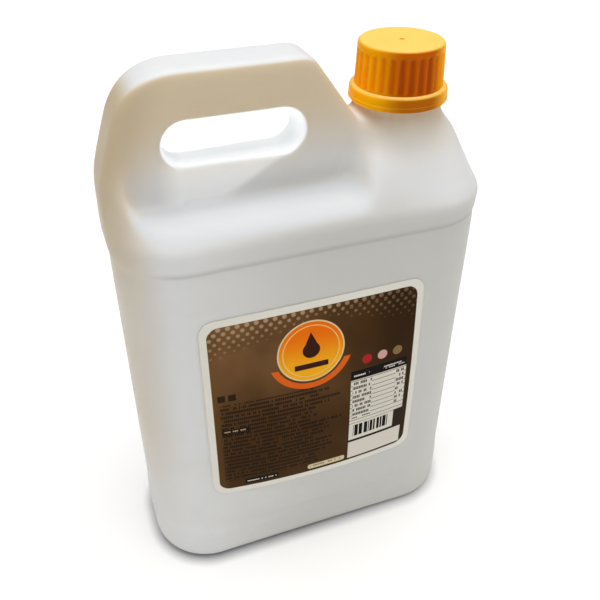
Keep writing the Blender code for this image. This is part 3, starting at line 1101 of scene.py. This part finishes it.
@dataclass(frozen=True)
class PrintedFilm:
    """White polypropylene film, flexo printed in brown and varnished.

    It gives the eye a dark satin field of even ink with a paler screen of dots near the top, and small
    plain marks where a real label has its words: boxes, discs, dashes, bars, an arc and a drop.
    """

    margin: str = "#EEEADE"
    brown: str = "#7F5B38"
    dark: str = "#452B0C"
    deep: str = "#332008"
    olive: str = "#6E5024"
    tan: str = "#C7A680"
    cream: str = "#E3DDCF"
    straw: str = "#D9CBA2"
    grey: str = "#4A4238"
    black: str = "#17110C"
    ink: str = "#1C1006"
    orange: str = "#F77408"
    amber: str = "#FFB41C"
    ior: float = 1.49
    gloss: float = 0.04
    field: Patch = Patch(-4.9, 136.0, 64.0, 63.5, corner=7.0)
    block: Patch = Patch(-25.5, 112.0, 39.5, 32.3)
    heading: Patch = Patch(-60.6, 149.4, 5.4, 2.4, corner=0.2)
    top_line: Patch = Patch(35.0, 194.6, 20.0, 0.9)
    row_pitch: float = 3.1
    dash: float = 1.15
    dot_pitch: float = 5.4
    badge: Triple = (-9.0, 171.0, 20.0)
    drop_radius: float = 5.4
    drop_tip: float = 12.0
    edge: float = 0.12
    discs_z: float = 155.5
    disc_radius: float = 3.3
    discs: tuple[tuple[float, str], ...] = ((27.0, "#B3262B"), (37.5, "#D9A9A0"), (48.0, "#8A7146"))

    def patches(self) -> list[Patch]:
        """List the printed boxes, lowest layer first.

        Returns:
            The boxes.
        """
        return [
            Patch(36.0, 145.0, 19.5, 3.4, self.black),
            Patch(23.5, 145.0, 5.6, 1.1, self.black, Print.DASHES, self.cream, pitch=2.6),
            Patch(46.5, 144.9, 7.6, 1.5, self.black, Print.DASHES, self.cream, pitch=1.7),
            Patch(36.0, 123.6, 19.5, 17.9, self.cream, Print.RULES, "#6E6558", pitch=3.6),
            Patch(24.5, 125.0, 6.6, 15.3, self.cream, Print.DASHES, self.grey, pitch=3.6),
            Patch(51.2, 126.0, 2.9, 13.9, self.cream, Print.DASHES, self.grey, pitch=3.6),
            Patch(36.0, 97.0, 19.5, 8.6, "#2A1E15"),
            Patch(32.7, 98.2, 16.2, 7.2, self.cream),
            Patch(32.7, 98.8, 13.2, 4.9, self.cream, Print.BARS, "#15120F", pitch=0.62),
            Patch(36.0, 81.6, 19.5, 7.4, self.cream),
            Patch(1.4, 76.6, 12.9, 2.1, self.straw, corner=1.6),
            Patch(1.4, 76.6, 11.2, 0.9, self.straw, Print.DASHES, "#7A6436", pitch=1.9),
            Patch(-42.0, 76.9, 10.8, 2.1, "#1B130D"),
            Patch(-42.0, 76.9, 9.4, 0.8, "#1B130D", Print.DASHES, self.cream, pitch=1.8),
            Patch(-56.5, 122.4, 8.3, 2.2, "#1B130D"),
            Patch(-56.5, 122.4, 7.2, 1.0, "#1B130D", Print.DASHES, self.tan, pitch=2.3),
        ]

    def make(self) -> Finish:
        """Make the material, layer by layer from the margin to the badge.

        Returns:
            The material.
        """
        shade = Shade("printed_polypropylene_film")
        cloud = shade.noise(26.0)
        share = shade.x.smooth(-60.0, 45.0).larger(shade.z.smooth(192.0, 112.0, 0.0, 0.96))
        uneven = cloud.smooth(0.35, 0.7, 0.0, 0.35).larger(shade.x.smooth(20.0, 50.0, 0.0, 0.9))
        colour = shade.blend(uneven, shade.blend(share, self.brown, self.dark), self.deep)
        colour = shade.blend(shade.x.smooth(-67.5, -61.0, 0.45, 0.0), colour, self.olive)
        colour = shade.blend(self.screen(shade), colour, self.tan)
        colour = self.small_print(shade, colour)
        for patch in self.patches():
            colour = shade.blend(self.box(shade, patch), colour, self.fill(shade, patch))
        for across, ink in self.discs:
            colour = shade.blend(self.disc(shade, across, self.discs_z, self.disc_radius), colour, ink)
        colour = shade.blend(self.box(shade, self.field), self.margin, self.emblem(shade, colour))
        return shade.finish(
            shade.noise(2.2) * 0.03,
            0.3,
            Base_Color=colour,
            Roughness=cloud.smooth(0.3, 0.7, 0.36, 0.46),
            IOR=self.ior,
            Specular_IOR_Level=self.gloss,
        )

    def box(self, shade: Shade, patch: Patch) -> Signal:
        """Give one inside a round-cornered box: the distance past the inner box is under the corner.

        Args:
            shade: The material under construction.
            patch: The box.

        Returns:
            The mask.
        """
        past_x = (abs(shade.x - patch.x) - (patch.half_x - patch.corner)).larger(0.0)
        past_z = (abs(shade.z - patch.z) - (patch.half_z - patch.corner)).larger(0.0)
        return span(past_x, past_z).fall(patch.corner - self.edge, patch.corner + self.edge)

    def disc(self, shade: Shade, x: float, z: float, radius: float) -> Signal:
        """Give one inside a disc."""
        return self.box(shade, Patch(x, z, radius, radius, corner=radius))

    def dashes(self, shade: Shade, pitch: float, width: float, drawn: float) -> Signal:
        """Give one on short dashes in rows: a cell of a row is inked where its own random number is low.

        Args:
            shade: The tree.
            pitch: From row to row in millimetres.
            width: Of one cell along the row.
            drawn: Share of cells that are inked.

        Returns:
            The mask.
        """
        row, cell = shade.z / pitch, shade.x / width
        number = shade.add("CombineXYZ", "Vector", X=cell.whole(), Y=row.whole())
        chance = shade.add("TexWhiteNoise", "Value", {"noise_dimensions": "2D"}, Vector=number)
        return (chance < drawn) * (abs(row.part() - 0.5) < 0.3) * (abs(cell.part() - 0.5) < 0.38)

    def fill(self, shade: Shade, patch: Patch) -> Signal | str:
        """Give a box's ink, with its pattern in the second ink.

        Args:
            shade: The material under construction.
            patch: The box.

        Returns:
            The colour.
        """
        if patch.fill is Print.PLAIN:
            return patch.ink
        if patch.fill is Print.DASHES:
            marks = self.dashes(shade, patch.pitch, self.dash, 0.74)
        elif patch.fill is Print.RULES:
            marks = (shade.z / patch.pitch).part() < 0.13
        else:
            marks = shade.chance((shade.x / patch.pitch).whole()) < 0.56
        return shade.blend(marks, patch.ink, patch.second_ink)

    def small_print(self, shade: Shade, under: Signal) -> Signal:
        """Print the block of fine dark dashes, whose rows end at ragged lengths, a heading and a line.

        Args:
            shade: The material under construction.
            under: The colour so far.

        Returns:
            The colour with the print on it.
        """
        ragged = shade.chance((shade.z / self.row_pitch).whole())
        marks = self.dashes(shade, self.row_pitch, self.dash, 0.84) * (shade.x < ragged * 26.0 - 12.0)
        gap = abs(shade.x - self.heading.x) > 0.9
        colour = shade.blend(self.box(shade, self.block) * marks * 0.9, under, self.ink)
        colour = shade.blend(self.box(shade, self.heading) * gap * 0.85, colour, self.ink)
        fine = self.box(shade, self.top_line) * self.dashes(shade, 2.0, 1.2, 0.75)
        return shade.blend(fine * 0.6, colour, "#1E140D")

    def screen(self, shade: Shade) -> Signal:
        """Give the screen of dots in staggered rows, fading downward, to the middle and to the right.

        Args:
            shade: The material under construction.

        Returns:
            The share of the dots' ink.
        """
        below = (self.field.z + self.field.half_z) - shade.z
        row = below / self.row_pitch
        cell = shade.x / self.dot_pitch + row.whole() % 2.0 * 0.5
        radius = span((cell.part() - 0.5) * self.dot_pitch, (row.part() - 0.5) * self.row_pitch)
        depth = abs(shade.x + 4.0) * 0.28 + 6.0
        fade = 1.0 - (below / depth).larger(0.0).smaller(1.0)
        dot = (radius - (fade * 0.85 + 0.6)).fall(-0.4, 0.4)
        return dot * fade**0.6 * 0.78 * shade.x.smooth(-5.0, 50.0, 1.0, 0.3)

    def emblem(self, shade: Shade, under: Signal) -> Signal:
        """Print the round badge: arc, pale rim, field from amber up to orange, ring, bar and drop.

        Args:
            shade: The material under construction.
            under: The colour so far.

        Returns:
            The colour with the badge on it.
        """
        x, z, radius = self.badge

        def round_band(outer: float, inner: float) -> Signal:
            """Give one between two circles, each so far past the badge's own."""
            return self.disc(shade, x, z, radius + outer) - self.disc(shade, x, z, radius + inner)

        field = shade.blend(shade.z.smooth(z - 14, z + 14), self.amber, self.orange)
        colour = shade.blend(round_band(6.4, 2.4) * (shade.z < z - 9.0), under, "#E8661A")
        colour = shade.blend(self.disc(shade, x, z, radius + 0.9), colour, "#E8D3A0")
        colour = shade.blend(self.disc(shade, x, z, radius), colour, field)
        colour = shade.blend(round_band(-2.2, -2.8), colour, "#F4CC7A")
        bar = self.box(shade, Patch(x, z - 10.0, 10.5, 1.9))
        return shade.blend(self.drop(shade, x, z + 1.0).larger(bar), colour, "#3A1E10")

    def drop(self, shade: Shade, x: float, z: float) -> Signal:
        """Give one inside a drop: a disc below, and above it a width that shrinks evenly to the tip.

        Args:
            shade: The material under construction.
            x: Its middle line.
            z: Middle of its disc.

        Returns:
            The mask.
        """
        radius, up = self.drop_radius, shade.z - z
        cone = (abs(shade.x - x) < up * (-radius / self.drop_tip) + radius * 1.02) * (up > 1.5)
        return cone.larger(self.disc(shade, x, z, radius))


# Stage, light and camera


@dataclass(frozen=True)
class Studio:
    """A pale floor, a broad light from above and an even room, seen at the photograph's angle."""

    floor_half: float = 3.0
    floor_colour: str = "#F4F3F1"
    floor_cloud: str = "#F0F0EE"
    contact_shadow: str = "#5C5C64"
    floor_glow: float = 0.12
    room: str = "#F6F8FF"
    room_strength: float = 0.08
    key: str = "#FFFFFF"
    key_strength: float = 3.25
    key_spread: float = 68.0
    key_from: Triple = (0.02, -0.08, 1.0)
    lens_mm: float = 43.464
    pitch: float = 36.011
    yaw: float = 20.826
    roll: float = 0.397
    eye: Triple = (-129.4, -349.6, 440.7)

    def floor(self, jug: Jug) -> None:
        """Lay a flat white board just under the can, with a painted grey shadow around the jug's footprint.

        Args:
            jug: The jug that stands on it.
        """
        line = np.linspace(-self.floor_half, self.floor_half, 9) / MM
        x, y = np.meshgrid(line, line)
        points = np.stack([x, y, 0 * x - 0.1], axis=-1).reshape(-1, 3)
        ground = make_object("floor", points, grid_faces(9, 9))
        shade = Shade("matt_white_board")
        uneven = shade.noise(170.0, 3.0).smooth(0.3, 0.7, 0.0, 0.5)
        past_x = (abs(shade.x) - (jug.half_width - jug.corner)).larger(0.0)
        past_y = (abs(shade.y) - (jug.half_depth - jug.corner)).larger(0.0)
        # painted contact shadow round the footprint, deeper on the left; the board glows less under it
        near = (span(past_x, past_y) - jug.corner).fall(-4.0, 8.0)
        painted_shadow = near * shade.x.smooth(-40.0, 110.0, 0.66, 0.4)
        colour = shade.blend(uneven, self.floor_colour, self.floor_cloud)
        matt = shade.finish(
            Base_Color=shade.blend(painted_shadow, colour, self.contact_shadow),
            Roughness=0.9,
            Specular_IOR_Level=0.1,
            Emission_Color="#FFFFFF",
            Emission_Strength=(1.0 - painted_shadow) * self.floor_glow,
        )
        ground.data.materials.append(matt)

    def light(self) -> None:
        """Light the can: one broad soft light from above and a little in front, in an even pale room."""
        world = bpy.data.worlds.new("room")
        bpy.context.scene.world = world
        world.use_nodes = True
        background = world.node_tree.nodes["Background"]
        background.inputs["Color"].default_value = linear(self.room)
        background.inputs["Strength"].default_value = self.room_strength
        data = bpy.data.lights.new("overhead", "SUN")
        data.energy = self.key_strength
        data.angle = math.radians(self.key_spread)
        data.color = linear(self.key)[:3]
        put("overhead", data).rotation_euler = Vector(self.key_from).to_track_quat("Z", "Y").to_euler()

    def camera(self) -> None:
        """Set the camera where the photograph was taken, from its turn, tilt, roll and place."""
        pitch, yaw, roll = (math.radians(angle) for angle in (self.pitch, self.yaw, self.roll))
        ahead = math.cos(pitch)
        forward = np.array([math.sin(yaw) * ahead, math.cos(yaw) * ahead, -math.sin(pitch)])
        level = np.array([math.cos(yaw), -math.sin(yaw), 0.0])
        over = np.cross(level, forward)
        right = math.cos(roll) * level + math.sin(roll) * over
        up = math.cos(roll) * over - math.sin(roll) * level
        matrix = np.eye(4)
        matrix[:3] = np.column_stack([right, up, -forward, np.array(self.eye) * MM])
        data = bpy.data.cameras.new("camera")
        data.lens, data.sensor_width, data.clip_start = self.lens_mm, 36.0, 0.01
        eye = put("camera", data)
        eye.matrix_world = Matrix(matrix.tolist())
        bpy.context.scene.camera = eye
        bpy.context.scene.view_settings.view_transform = "Standard"


def main() -> None:
    """Build and dress the can, then its floor, light and camera."""
    logging.basicConfig(level=logging.INFO, format="%(message)s")
    jug, closure = Jug(), Closure()
    jug.build(WhitePolyethylene().make(jug))
    amber = AmberPolyethylene().make(closure)
    closure.cap(amber)
    closure.tamper_ring(amber)
    Label(jug).build(PrintedFilm().make())
    studio = Studio()
    studio.floor(jug)
    studio.light()
    studio.camera()


if __name__ == "__main__":
    main()
